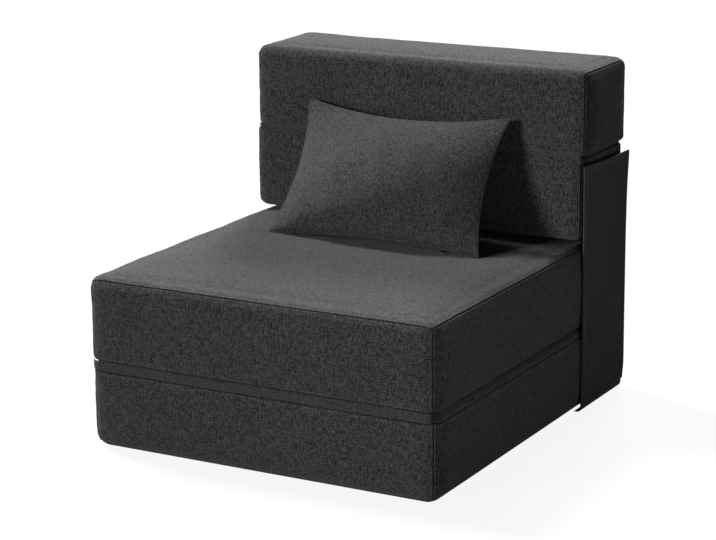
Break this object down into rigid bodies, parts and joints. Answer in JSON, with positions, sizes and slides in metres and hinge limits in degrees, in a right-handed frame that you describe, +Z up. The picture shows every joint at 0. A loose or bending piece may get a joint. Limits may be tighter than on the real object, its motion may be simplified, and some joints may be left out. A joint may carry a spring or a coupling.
{
  "type": "convertible chair bed",
  "caption": "Low armless foam chair in woven fabric covers that folds out into a floor bed, with a loose lumbar pillow and a fabric side panel.",
  "frame": {"origin": "middle of the base block's underside, on the floor: X = 0 and Y = 0 are the middle of the base and seat blocks, Z = 0 the floor", "axes": "+Z up, -Y towards the sitter's feet, +X to the right of someone who looks at the chair's front"},
  "size_m": [0.7153, 0.7996, 0.6555],
  "materials": {
    "woven_cover": "charcoal heathered linen-look weave",
    "fold_fabric": "charcoal woven strip, sewn",
    "binding": "folded edge binding",
    "foam": null,
    "fibre_fill": "polyester fibre fill",
    "zip_tape": "woven tape with moulded coil",
    "zip_slider": "black lacquered",
    "hook_and_loop": "black nylon hook and loop",
    "non_slip_sheet": "nonwoven sheet with small rubber dots"
  },
  "bodies": {
    "base": {"base_cover": "woven_cover", "base_foam_core": "foam", "base_underside_sheet": "non_slip_sheet", "front_fold_base_leaf": "fold_fabric", "panel_fold_base_leaf": "fold_fabric", "base_zip_tape": "zip_tape"},
    "seat": {"seat_cover": "woven_cover", "seat_foam_core": "foam", "front_fold_seat_leaf": "fold_fabric", "rear_fold_seat_leaf": "fold_fabric", "seat_zip_tape": "zip_tape"},
    "back": {"back_cover": "woven_cover", "back_foam_core": "foam", "rear_fold_back_leaf": "fold_fabric", "headrest_fold_back_leaf": "fold_fabric", "back_loop_tape": "hook_and_loop", "back_zip_tape": "zip_tape"},
    "headrest": {"headrest_cover": "woven_cover", "headrest_foam_core": "foam", "headrest_fold_headrest_leaf": "fold_fabric", "headrest_zip_tape": "zip_tape"},
    "side_panel": {"side_panel_fabric": "woven_cover", "side_panel_binding": "binding", "side_panel_hook_tape": "hook_and_loop", "panel_fold_panel_leaf": "fold_fabric"},
    "pillow": {"pillow_cover": "woven_cover", "pillow_fill": "fibre_fill", "pillow_zip_tape": "zip_tape"},
    "base_slider": {"base_zip_slider": "zip_slider"},
    "seat_slider": {"seat_zip_slider": "zip_slider"},
    "back_slider": {"back_zip_slider": "zip_slider"},
    "headrest_slider": {"headrest_zip_slider": "zip_slider"},
    "pillow_slider": {"pillow_zip_slider": "zip_slider"}
  },
  "joints": [
    {"name": "seat_fold", "type": "hinge", "parent": "base", "child": "seat", "pos_m": [0, -0.4, 0.1645], "axis": [1, 0, 0], "range_deg": [0, 180]},
    {"name": "back_fold", "type": "hinge", "parent": "seat", "child": "back", "pos_m": [0, 0.4, 0.3285], "axis": [-1, 0, 0], "range_deg": [0, 180]},
    {"name": "headrest_fold", "type": "hinge", "parent": "back", "child": "headrest", "pos_m": [0, 0.195, 0.4925], "axis": [1, 0, 0], "range_deg": [0, 180]},
    {"name": "pillow_slide", "type": "slide", "parent": "back", "child": "pillow", "axis": [0, -1, 0], "range_m": [0, 0.38]},
    {"name": "side_panel_fold", "type": "hinge", "parent": "base", "child": "side_panel", "pos_m": [0.3613, 0.4, 0.003], "axis": [0, 1, 0], "range_deg": [0, 90]},
    {"name": "base_zip_slide", "type": "slide", "parent": "base", "child": "base_slider", "axis": [1, 0, 0], "range_m": [0, 0.596]},
    {"name": "seat_zip_slide", "type": "slide", "parent": "seat", "child": "seat_slider", "axis": [1, 0, 0], "range_m": [0, 0.596]},
    {"name": "back_zip_slide", "type": "slide", "parent": "back", "child": "back_slider", "axis": [1, 0, 0], "range_m": [0, 0.596]},
    {"name": "headrest_zip_slide", "type": "slide", "parent": "headrest", "child": "headrest_slider", "axis": [1, 0, 0], "range_m": [0, 0.596]},
    {"name": "pillow_zip_slide", "type": "hinge", "parent": "pillow", "child": "pillow_slider", "pos_m": [0.002, -0.91931, -1.06516], "axis": [0, 0.829, -0.5592], "range_deg": [0, 9.13]}
  ],
  "couplings": [
    {"joint": "back_fold", "follows": "seat_fold", "ratio": 1},
    {"joint": "pillow_slide", "follows": "headrest_fold", "m_per_rad": 0.12}
  ]
}
